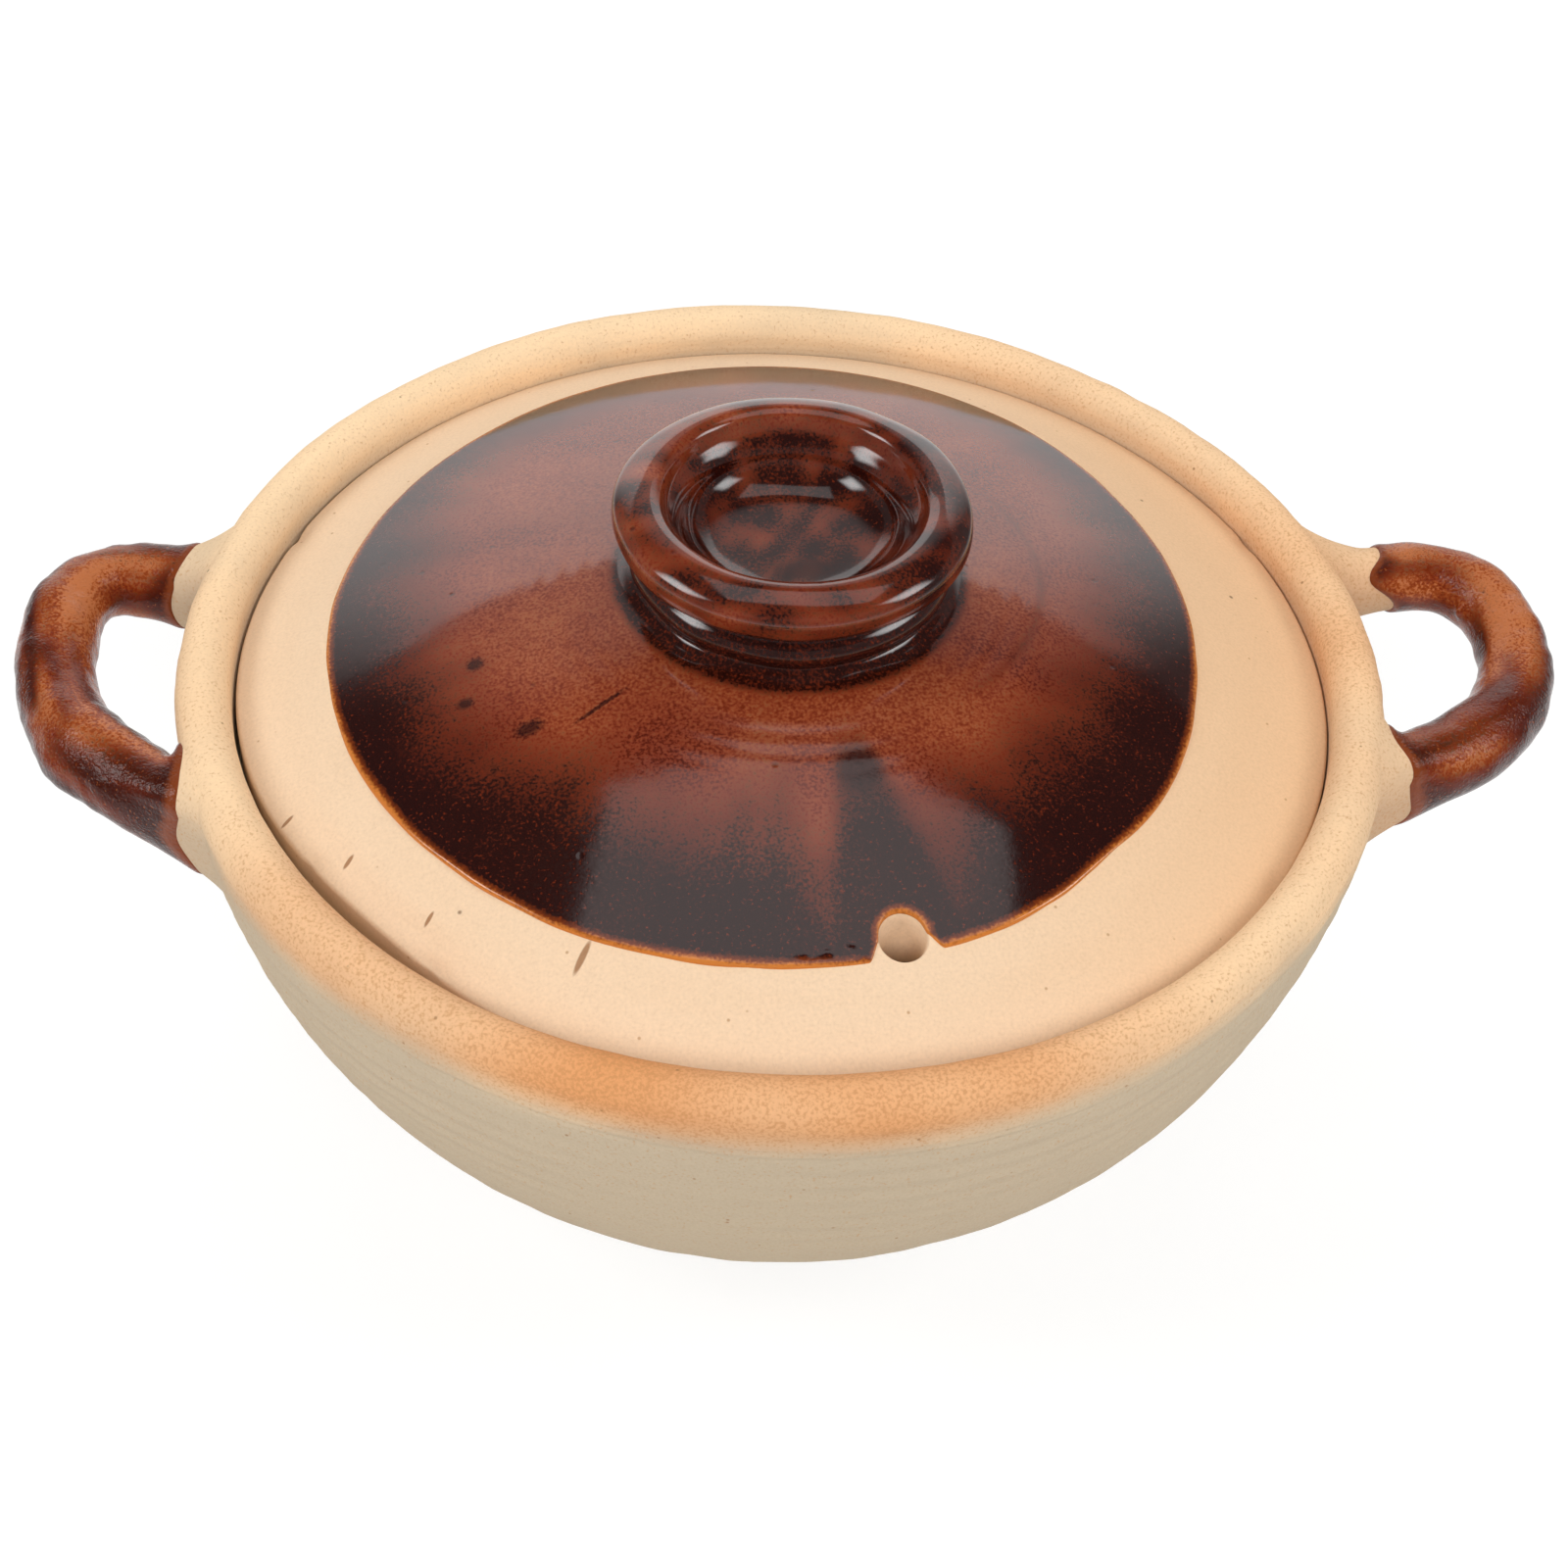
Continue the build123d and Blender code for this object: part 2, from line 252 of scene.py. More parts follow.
def makeBowl(part=bowl):
    # outline from under the base over lip and ledge to the floor, spun
    floor, seat, mouth = part["floorHeight"], part["seatHeight"], part["mouthRadius"]
    bend, nose = part["seatRound"], part["noseRound"]
    inner = innerWall(part["wallThickness"], floor, (40, 60))[::-3]
    lip = lipCentre()
    gallery = lip[0] - part["lipRound"]
    path = chain(
        line((0, 0), (part["baseRadius"] * 0.97, 0), part["baseRows"]),
        *wallRuns(0.0, part["wallRows"]),
        arc(lip, part["lipRound"], part["wallAngles"][2] - 90, 180, 36),
        line((gallery, lip[1]), (gallery, seat + bend), 34),
        arc((gallery - bend, seat + bend), bend, 0, -90, 5),
        line((gallery - bend, seat), (mouth + nose, seat), 6),
        arc((mouth + nose, seat - nose), nose, 90, 180, 6),
        line((mouth, seat - nose), (mouth, part["noseHeight"]), 4),
        inner,
        line((inner[-1, 0] - 1 * mm, floor), (0, floor), 6),
    )
    angle = turns(part["columns"])
    plain = spun(path, angle)
    radius, height = path[:, 0, None], path[:, 1, None]
    along = runLength(path)[:, None]
    row = np.arange(len(path))[:, None]
    outside = rise(2 * mm, 12 * mm, height) * (row < part["baseRows"] + sum(part["wallRows"]))
    inside = (abs(radius - gallery) < 0.02 * mm) * rise(seat + 1 * mm, seat + 3 * mm, height)
    inward = rise(*part["innerRows"], row)
    # slow wobble, but not at the base, the ledge and the handles' roots
    calm = (1 - 0.95 * inward) * (1 - byRoots(angle) * rise(40 * mm, 55 * mm, height))
    calm = calm * rise(0, 7 * mm, height) * rise(0, 20 * mm, radius)
    lift = part["wobble"] * lumps(part["seed"], plain, part["wobbleSize"]) * calm
    # finger rings outside, tool grooves inside the lip and a fine grain
    wave = along / part["ringPitch"] * fullTurn + 1.5 * lumps(3, plain, 90 * mm)
    lift += part["ringDepth"] * np.sin(wave) * outside * (0.6 + 0.5 * lumps(5, plain, 70 * mm))
    groove = 0.5 + 0.5 * np.sin(along / part["groovePitch"] * fullTurn + 0.8 * np.cos(angle))
    lift -= part["grooveDepth"] * groove * inside * (1 - rise(72 * mm, 78 * mm, height))
    grain = part["grain"] * lumps(7, plain, part["grainSize"])
    lift += grain * rise(1 * mm, 6 * mm, height) * (1 - 0.7 * inward)
    # two cuts of the tool at the front
    front = rise(0.9, 0.3, abs(apart(angle, radians(part["cutAngle"]))))
    for cut in part["cutHeights"]:
        wander = cut + 1 * mm * np.sin(2 * angle + 0.6)
        lift -= part["cutDepth"] * hump(wander, part["cutWidth"], height) * outside * front
    replaced = ["pot_base", "pot_wall", "pot_ledge", "pot_lip"]
    marks = {"flush": flushAt(plain)}
    return piece("potBowl", spun(path, angle, lift), "pot", replaced, marks=marks)


def makeLiner(part=bowl):
    # thin coat inside: a face hidden in the clay and one in the open
    faces = []
    for depth in part["linerFaces"]:
        level = part["floorHeight"] + depth
        run = innerWall(part["wallThickness"] + depth, level, (40, 40))
        faces.append(chain(line((0, level), (run[0, 0] - 1 * mm, level), 8), run))
    path = chain(faces[0], faces[1][::-1])
    grid = spun(path, turns(part["linerColumns"]))
    marks = {"margin": 10 * mm + 0 * grid[..., 0], "poolAndPaintedShade": 0.3 + 0.3 * lumps(13, grid, 40 * mm), "flow": grid}
    return piece("bowlLiner", grid, "pot", ["bowl_glaze"], marks=marks)


potBowl = makeBowl()
bowlLiner = makeLiner()

# Lid: a low dome of paler clay with a steam vent, dipped in glaze round its cup-shaped knob.
# Its edge spreads evenly, a little more toward an angle, less at the gap; a chip is its place, width and depth.
lid = dict(
    radius=90.3 * mm, edgeTop=74 * mm, edgeRound=1 * mm, seat=66 * mm, seatRound=1.5 * mm,
    spread=(0.78 * mm, 0.14 * mm, 10), gap=(-138, 19, 3.8 * mm),
    footRadius=23.4 * mm, domeTop=94.5 * mm, bulge=1.6 * mm, thickness=7 * mm, ringWidth=11 * mm,
    ventReach=70 * mm, ventAngle=radians(-79.3), ventRadius=3.5 * mm, ventDepth=25 * mm,
    ventFlare=((0, -2.0), (0.04, -0.8), (0.3, 0.0), (1.2, 0.9), (2.5, 2.0)), ventCrease=42,
    wobble=0.14 * mm, wobbleSize=60 * mm, grain=0.05 * mm, grainSize=8 * mm,
    chips=((-130, 1.2, 0.9), (-149, 0.8, 0.6), (-36, 0.9, 0.7), (-57, 0.7, 0.5), (158, 0.9, 0.6), (20, 0.8, 0.5)),
    underRows=40, columns=280,
)


def domeRun(edge, foot, count, part=lid):
    # quadratic curve from the edge to the foot of the knob, bulged in the middle
    edge, foot = np.array(edge), np.array(foot)
    along = unit(foot - edge)
    pull = (edge + foot) / 2 + np.array([along[1], -along[0]]) * 2 * part["bulge"]
    t = line(0, 1, count)[:, None]
    return (1 - t) ** 2 * edge + 2 * t * (1 - t) * pull + t**2 * foot


def upperRun(count, part=lid):
    # the lid's upper face from its edge to the foot of the knob
    return domeRun((part["radius"], part["edgeTop"]), (part["footRadius"], part["domeTop"]), count)


def domeHeight(radius):
    # height of the lid's upper face at a radius
    run = upperRun(300)
    return np.interp(radius, run[::-1, 0], run[::-1, 1])


def ventCentre(part=lid):
    # where the vent stands, seen from above
    return np.array([math.cos(part["ventAngle"]), math.sin(part["ventAngle"])]) * part["ventReach"]


def makeLid(part=lid):
    # outline from the top over the rounded edge to the under side, spun
    size, foot, seat, bend, heel = [part[key] for key in ("radius", "footRadius", "seat", "edgeRound", "seatRound")]
    dome = upperRun(90)
    step = dome[0] - dome[1]
    slope = math.atan2(-step[1], step[0])
    reach = size - bend
    middle = part["edgeTop"] + bend * (1 - math.sin(slope)) * math.tan(slope) - bend * math.cos(slope)
    crest = reach + bend * math.sin(slope)
    under = domeRun((size - part["ringWidth"], seat), (foot, part["domeTop"] - part["thickness"]), 30)
    path = chain(
        line((0, part["domeTop"] - 0.1 * mm), (foot - 1 * mm, part["domeTop"]), 6),
        dome[::-1][dome[::-1][:, 0] < crest - 0.3 * mm],
        arc((reach, middle), bend, 90 - math.degrees(slope), 0, 12),
        line((size, middle - 0.5 * mm), (size, seat + heel), 5),
        arc((size - heel, seat + heel), heel, 0, -90, 5),
        line((size - 2 * mm, seat), under[0], 4),
        under,
        line((foot - 3 * mm, under[-1, 1]), (0, under[-1, 1]), 4),
    )
    angle = turns(part["columns"])
    plain = spun(path, angle)
    radius, height = path[:, 0, None], path[:, 1, None]
    upper = (height > seat + 1 * mm) * (np.arange(len(path))[:, None] < len(path) - part["underRows"])
    lift = -part["wobble"] * lumps(21, plain, part["wobbleSize"]) * upper * rise(20 * mm, 40 * mm, radius)
    lift -= part["grain"] * lumps(22, plain, part["grainSize"]) * upper
    lift *= 1 - 0.85 * rise(85 * mm, 89 * mm, radius)
    edge = hump(size - 0.6 * mm, 1.8 * mm, radius) * hump(middle + 1.5 * mm, 2.5 * mm, height) * upper
    for place, width, depth in part["chips"]:
        lift += depth * mm * edge * hump(0, width * 0.02, apart(angle, radians(place)))
    grid = spun(path, angle, lift)
    even, more, toward = part["spread"]
    place, width, depth = part["gap"]
    out = even + more * np.cos(angle - radians(toward)) - depth * near(place, width, angle)
    grid[..., :2] *= 1 + (out / size * rise(80 * mm, 90 * mm, radius))[..., None]
    return cutVent(piece("lidClay", grid, "lid", ["lid"]))


def cutVent(made, part=lid):
    # bored with a flared cutter that leans with the dome, so the vent's upper lip is round
    top = domeHeight(part["ventReach"])
    bore, deep = part["ventRadius"], top - part["ventDepth"]
    flare = np.array(part["ventFlare"]) * mm + np.array([bore, top])
    path = chain(
        line((0, deep), (bore, deep), 3),
        line((bore, deep + 1 * mm), flare[0], 6),
        curve(flare, 14),
        line((flare[-1, 0], top + 6 * mm), (0, top + 6 * mm), 3),
    )
    grid = spun(path, turns(72))
    fall = (domeHeight(part["ventReach"] + 1 * mm) - top) / mm
    grid[..., 2] += fall * (grid[..., :2] @ ventCentre()) / part["ventReach"]
    grid[..., :2] += ventCentre()
    cutter = piece("ventCutter", grid, "lid", [])
    tool = made.modifiers.new("vent", "BOOLEAN")
    tool.operation = "DIFFERENCE"
    tool.solver = "EXACT"
    tool.object = cutter
    bpy.context.view_layer.update()
    bored = bpy.data.meshes.new_from_object(made.evaluated_get(bpy.context.evaluated_depsgraph_get()))
    made.modifiers.clear()
    made.data = bored
    bored.shade_smooth()
    bored.set_sharp_from_angle(angle=radians(part["ventCrease"]))
    bpy.data.objects.remove(cutter)
    return made


lidClay = makeLid()

# Knob and glaze of the lid: one coat runs from the cup over the rolled ring and the bead to the dipping line.
# The knob's points, the coat's edge and its thick band are in millimetres, the last two by degrees.
knob = dict(
    points=(
        (0, 99.3), (5, 99.3), (9.5, 99.4), (13, 100.1), (15.8, 101.7), (17.3, 103.4), (18, 105), (18.9, 106.3),
        (20.1, 107.5), (20.8, 108.7), (21.4, 109.8), (22.4, 110.4), (23.6, 110.7), (25.2, 110.3), (26.8, 109.6),
        (27.9, 108.9), (28.6, 108.1), (28.95, 106.9), (28.9, 105.4), (28.3, 104),
        (26.9, 102.8), (25.2, 102), (24.4, 101.2), (24.6, 100.3), (25.5, 99.4), (26.1, 98.2), (26, 96.9),
        (25.3, 95.9), (25.4, 95.3), (26.6, 94.55),
    ),
    rows=140, columns=120, coreDepth=0.8 * mm, coatDepth=1.1 * mm, sunk=2 * mm,
)
coat = dict(
    thickness=0.45 * mm, ripple=0.05 * mm, roll=0.4 * mm, ventGap=0.15 * mm, corner=2 * mm,
    columns=360, domeRows=76, ventCrowd=(7, 0.11), seed=31,
    edge=(
        (-180, 76), (-165, 75.4), (-150, 75.2), (-135, 74.7), (-120, 74.6), (-100, 74), (-85, 73.4), (-70, 72.6),
        (-60, 71.9), (-50, 70.2), (-40, 70), (-30, 69.5), (-15, 68.3), (0, 68.3), (15, 69.2), (30, 70.5), (45, 73.8),
        (60, 77.5), (75, 80.4), (90, 81), (105, 80.4), (120, 78.8), (135, 77.3), (150, 76.6), (165, 76.3),
    ),
    band=(
        (-180, 13), (-172, 15), (-165, 16), (-157, 15), (-150, 14), (-142, 15), (-135, 19), (-128, 21), (-120, 20),
        (-105, 21), (-95, 21), (-91, 17), (-88, 10), (-85.5, 14), (-83.5, 24), (-75, 24), (-73, 13), (-70, 12),
        (-66, 16), (-60, 20), (-45, 19), (-30, 18), (-20, 17), (-10, 14), (5, 12), (30, 9), (90, 7), (150, 9),
        (165, 12),
    ),
    edgeSoft=4, bandSoft=2, bandRag=0.8 * mm, blur=10 * mm,
    knobLump=0.10 * mm, swell=0.03 * mm, ringDepth=0.015 * mm, ringPitch=3.6 * mm,
    blisterAngle=-89, blisterInset=2.2 * mm, blisterHeight=0.12 * mm,
    ringMark=(4 * mm, 4 * mm, 38 * mm), ringTurns=(-65, 50), ringPool=0.3,
    # painted shade: the neck under the ring and the cup are darker than their thick glaze alone makes them, and the
    # knob's right side is darkened by shade alone
    neckPoolAndPaintedShade=0.85, cupPoolAndPaintedShade=(0.72, 0.16), rollPool=(0.40, 0.20), rightPaintedShade=0.3,
)
flowRadius = 60 * mm


def roundabout(pairs, angle, soft):
    # value at an angle from pairs of degrees and millimetres, smoothed with a bell curve
    even = np.arange(-180, 180, 0.5)
    place, value = np.array(pairs, float).T
    window = hump(0, soft, even)
    rough = np.interp(even, place, value, period=360)
    smooth = np.fft.ifft(np.fft.fft(rough) * np.fft.fft(np.roll(window, -len(even) // 2))).real
    return np.interp(np.degrees(angle), even, smooth / window.sum(), period=360) * mm


def edgeRadius(angle, part=coat):
    # dipping line round the lid: an off-centre oval with a slight ripple
    random = np.random.default_rng(part["seed"])
    reach = roundabout(part["edge"], angle, part["edgeSoft"])
    for order in range(9, 40, 3):
        reach = reach + part["ripple"] * random.uniform(0.3, 1) * np.sin(order * angle + random.uniform(0, 6)) / 2
    return reach


def edgeWithVent(angle, part=coat):
    # the line steps in round the inner side of the vent
    gap = lid["ventRadius"] + part["ventGap"]
    across = lid["ventReach"] * apart(angle, lid["ventAngle"])
    inner = lid["ventReach"] - np.sqrt(np.clip(gap**2 - across**2, 0, None))
    beside = rise(gap + part["corner"], gap - 0.3 * mm, abs(across))
    whole = edgeRadius(angle)
    return whole + (np.minimum(inner, whole) - whole) * beside


def knobPath():
    # outline of the glazed knob
    return curve(np.array(knob["points"]) * mm, knob["rows"])


def makeKnob(part=knob):
    # clay under the coat: its outline, sunk by a little more than its unevenness
    path = knobPath()
    inner = path + sideways(path) * part["coreDepth"]
    inner[:, 0] = np.maximum(inner[:, 0], 0)
    inner[0, 0] = 0
    foot = lid["domeTop"] - part["sunk"]
    path = chain(inner, line((inner[-1, 0], foot), (0, foot), 4))
    return piece("lidKnob", spun(path, turns(part["columns"])), "lid", ["lid_knob"])


def crowdedAngles(part=coat):
    # angles of a full turn that stand closer together at the vent
    even = line(-math.pi, math.pi, 4001)
    more, width = part["ventCrowd"]
    share = np.cumsum(1 + more * hump(0, width, apart(even, lid["ventAngle"])))
    share = (share - share[0]) / (share[-1] - share[0])
    return np.interp(np.linspace(0, 1, part["columns"], endpoint=False), share, even)


def makeLidGlaze(part=coat):
    # over the knob, down the dome, rolled in at the edge and back just under the clay's skin
    angle = crowdedAngles()
    upper = knobPath()
    uneven = part["knobLump"] * lumps(33, spun(upper, angle), 16 * mm)
    top = spun(upper, angle, -uneven * rise(3 * mm, 8 * mm, upper[:, :1]))
    start, roll = upper[-1, 0], part["roll"]
    edge = edgeWithVent(angle)
    t = line(0, 1, part["domeRows"] + 1)[1:, None]
    t = 1 - (1 - t) ** 1.35
    radius = start + (edge - roll - start) * t
    flat = polar(radius, angle, domeHeight(radius))
    # slow swell, faint turning rings by the knob and a patch of blisters at the front edge
    swell = part["swell"] * lumps(34, flat, 30 * mm)
    ring = np.sin((radius - 30 * mm) / part["ringPitch"] * fullTurn) * hump(37 * mm, 7 * mm, radius)
    blister = hump(0, 0.09, apart(angle, radians(part["blisterAngle"])))
    blister = blister * hump(0, 1.3 * mm, radius - (edge - part["blisterInset"]))
    swell = swell + part["ringDepth"] * ring
    swell = swell + part["blisterHeight"] * blister * np.clip(lumps(35, flat, 2.2 * mm), 0, 2)
    flat[..., 2] += part["thickness"] + swell * rise(0, 0.05, t)
    tuck = np.radians(line(90, -25, 9))[1:, None]
    rimRadius = edge - roll + roll * np.cos(tuck)
    rim = polar(rimRadius, angle, domeHeight(rimRadius) + (part["thickness"] + swell[-1]) * np.sin(tuck))
    backRadius = start + (edge - roll - start) * line(1, 0, 16)[1:, None]
    below = polar(backRadius, angle, domeHeight(backRadius) - 0.3 * mm)
    hidden = upper[::-4] + sideways(upper)[::-4] * knob["coatDepth"]
    hidden[:, 0] = np.maximum(hidden[:, 0], 0.05 * mm)
    hidden = np.vstack([hidden, [[0, hidden[-1, 1]]]])
    grid = np.concatenate([top, flat, rim, below, spun(hidden, angle)])
    reach = np.hypot(grid[..., 0], grid[..., 1])
    vent = np.hypot(grid[..., 0] - ventCentre()[0], grid[..., 1] - ventCentre()[1])
    margin = np.minimum(edge - reach, vent - lid["ventRadius"] - part["ventGap"])
    flow = polar(flowRadius, angle, 0.22 * reach)
    marks = {"margin": margin, "flow": flow, "poolAndPaintedShade": thickCoatAndPaintedShade(grid, angle, margin, reach)}
    return piece("lidGlaze", grid, "lid", ["lid_glaze"], marks=marks)


def thickCoatAndPaintedShade(grid, angle, margin, reach, part=coat):
    # where the glaze ran thick: a ragged band along the edge, a ring mark and the knob's roll; painted shade darkens
    # the neck under the ring and the cup along with their thick glaze, and the knob's right side
    rag = part["bandRag"] * lumps(37, polar(flowRadius, angle, 0 * angle), 9 * mm)
    band = margin + rag - roundabout(part["band"], angle, part["bandSoft"])
    poolAndPaintedShade = 0.5 - 0.5 * np.clip(band / part["blur"], -1, 1)
    x, y, radius = part["ringMark"]
    first, last = np.radians(part["ringTurns"])
    turn = np.arctan2(grid[..., 1] - y, grid[..., 0] - x)
    ring = hump(radius, 0.9 * mm, np.hypot(grid[..., 0] - x, grid[..., 1] - y))
    ring = part["ringPool"] * ring * rise(first, first + 0.5, turn) * rise(last, last - 0.5, turn)
    height = grid[..., 2]
    # painted shade in the groove under the ring, on top of its thick glaze
    neck = rise(30 * mm, 28 * mm, reach) * rise(105 * mm, 102 * mm, height) * rise(22.5 * mm, 24 * mm, reach)
    # thick glaze in the cup, with painted shade in its hollow
    depth, uneven = part["cupPoolAndPaintedShade"]
    cup = rise(21.5 * mm, 19 * mm, reach) * (depth + uneven * lumps(38, grid, 8 * mm))
    depth, uneven = part["rollPool"]
    outer = rise(20 * mm, 22 * mm, reach)
    roll = outer * rise(102 * mm, 104 * mm, height) * (depth + uneven * lumps(39, grid, 9 * mm))
    # painted shade on the knob's right side
    right = part["rightPaintedShade"] * outer * rise(99 * mm, 103 * mm, height) * rise(0, 22 * mm, grid[..., 0])
    return poolAndPaintedShade + ring + part["neckPoolAndPaintedShade"] * neck + cup + roll + right


lidKnob = makeKnob()
lidGlaze = makeLidGlaze()

# Handles: rolled clay loops whose roots were smeared onto the rim, dipped in the same glaze.
# Path, girth, bare ends and outside are in millimetres. A drip is its share along the loop, turn, size and height,
# a lobe its turn, width and reach, a streak its turn, width, first and last share and depth.
handles = dict(
    right=dict(
        side=1, seed=41, girth=(6.1, 5.4, 5.5, 6.2, 6.6),
        path=((96, 26.2, 69), (107.5, 25.4, 70.5), (119.4, 24, 72), (126.4, 16.8, 72), (128, 6.4, 71),
              (125.8, -4.2, 70), (119.4, -13.6, 70.3), (108.6, -21, 70.3), (95.6, -26.2, 69)),
        lump=0.20 * mm, bare=(14.5, 5.5), outside=(8, 10), poolAndPaintedShade=0,
        drips=((0.36, 8, 3, 1.3),), lobes=((42, 36, 3.6),),
        streaks=((150, 26, 0.15, 0.55, 0.35), (60, 22, 0.55, 0.85, 0.45), (200, 40, 0.5, 0.9, 0.5),
                 (20, 25, 0.3, 0.5, 0.3)),
    ),
    left=dict(
        side=-1, seed=47, girth=(6.2, 5.5, 6.1, 6.5, 6.7),
        path=((95.8, 26.2, 69), (104, 26, 70), (114.4, 26, 71.5), (120.2, 19.9, 72), (122.1, 10, 71),
              (120.9, -0.8, 70), (116.2, -12.4, 70.5), (108.2, -21.2, 70.6), (95.4, -29.6, 69)),
        lump=0.24 * mm, bare=(8.5, 3.5), outside=(9, 11), poolAndPaintedShade=0.02,
        drips=(), lobes=(),
        streaks=((128, 13, 0.12, 0.62, 0.6), (95, 16, 0.5, 0.72, 0.4), (190, 40, 0.5, 0.95, 0.5),
                 (20, 30, 0.1, 0.3, 0.35)),
    ),
)
roots = dict(
    length=13 * mm, level=66 * mm, up=15 * mm, down=12 * mm, inside=10 * mm,
    sunk=0.25 * mm, pull=16 * mm, core=4.5 * mm, lumpSize=16 * mm, bumpSize=5 * mm, bump=0.3,
)
dip = dict(
    skin=0.55 * mm, roll=0.9 * mm, slant=(2.0, -3.0), rag=0.45, flowRadius=9 * mm, flowLength=26 * mm,
    # the loop is darker away from its top, as run-down glaze and painted shade, and darker toward its front
    patch=0.16, edgePool=0.3, underPoolAndPaintedShade=0.30, frontDarkening=0.1,
)
aroundLoop = turns(72)


def loopLine(part):
    # middle of the roll in even steps from the back root to the front root, and its length
    track = curve(np.array(part["path"]) * mm, 400)
    run = runLength(track)
    return alongPath(line(0, run[-1], 400), run, track), run[-1]


def loopRing(part, s, around, skin):
    # round across the loop at a share s of it; around starts at the finger side and goes over the top
    track = loopLine(part)[0]
    share = line(0, 1, len(track))
    ahead = unit(alongPath(s, share, np.gradient(track, axis=0)))
    up = unit(np.array([0, 0, 1]) - ahead * ahead[..., 2:])
    girth = np.interp(s, line(0, 1, len(part["girth"])), part["girth"]) * mm + skin
    around = around[..., None]
    spoke = np.cos(around) * np.cross(ahead, up) + np.sin(around) * up
    return alongPath(s, share, track) + girth[..., None] * spoke


def rootRing(part, scale, end, around, skin):
    # outline of a smeared root: a rounded square laid on the bowl's outside, up to the top of the lip
    lip = arc(lipCentre(), bowl["lipRound"], bowl["wallAngles"][2] - 90, 86, 20)
    wall = chain(*wallRuns(0.0, (60, 60)), lip)
    run = runLength(wall)
    corner = (np.cos(around) ** 4 + np.sin(around) ** 4) ** 0.25
    wide, tall = np.cos(around) / corner, np.sin(around) / corner
    place = np.interp(roots["level"], wall[:, 1], run) + scale * tall * np.where(tall > 0, roots["up"], roots["down"])
    radius = np.interp(place, run, wall[:, 0]) - roots["sunk"] + skin
    offset = part["path"][end][1] * mm
    turn = math.asin(abs(offset) / bowl["rimRadius"])
    turn = turn - scale * wide * np.where(wide > 0, roots["inside"], part["outside"][end] * mm) / bowl["rimRadius"]
    return polar(radius, math.copysign(1, offset) * turn, np.interp(place, run, wall[:, 1]))


def handleSkin(part, s, around, skin):
    # loop with flared roots: near each end a cubic blend carries the round onto the wall
    s, around, skin = np.broadcast_arrays(s, around, skin)
    length = loopLine(part)[1]
    root = roots["length"] / length
    middle = np.clip(s, root, 1 - root)
    points = loopRing(part, middle, around, skin)
    core = loopRing(part, middle, around, -roots["core"])
    for end, far, at, step in ((0, s, root, -0.01), (-1, 1 - s, 1 - root, 0.01)):
        last = loopRing(part, at + 0 * s, around, skin)
        lead = unit(loopRing(part, at + step + 0 * s, around, skin) - last) * roots["pull"]
        base = rootRing(part, 1.0, end, around, skin)
        spread = unit(rootRing(part, 1.03, end, around, skin) - base) * roots["pull"]
        w = np.clip(1 - far / root, 0, 1)[..., None]
        blend = (2 * w**3 - 3 * w**2 + 1) * last + (w**3 - 2 * w**2 + w) * lead
        blend = blend + (3 * w**2 - 2 * w**3) * base + (w**3 - w**2) * spread
        points = np.where(w > 0, blend, points)
    bumps = lumps(part["seed"], points, roots["lumpSize"])
    bumps = bumps + roots["bump"] * lumps(part["seed"] + 1, points, roots["bumpSize"])
    bumps = part["lump"] * bumps * rise(0.03, 0.16, np.minimum(s, 1 - s))
    for place, turn, size, height in part["drips"]:
        far = np.hypot((s - place) * length, apart(around, radians(turn)) * 6 * mm)
        bumps = bumps + height * mm * hump(0, size * mm / 2, far)
    points = points + unit(points - core) * bumps[..., None]
    return points * np.array([part["side"], 1, 1])


def makeHandle(label, part):
    # clay loop, closed at each root by a cap inside the bowl's wall
    grid = handleSkin(part, line(0, 1, 150)[:, None], aroundLoop, 0.0)
    caps = [grid[i].mean(0) * np.array([0.97, 1, 1]) + 0 * grid[i] for i in (0, -1)]
    grid = np.concatenate([caps[0][None], grid, caps[1][None]])
    marks = {"flush": flushAt(grid)}
    return piece(label + "Handle", grid, "pot", [label + "_handle"], marks=marks)


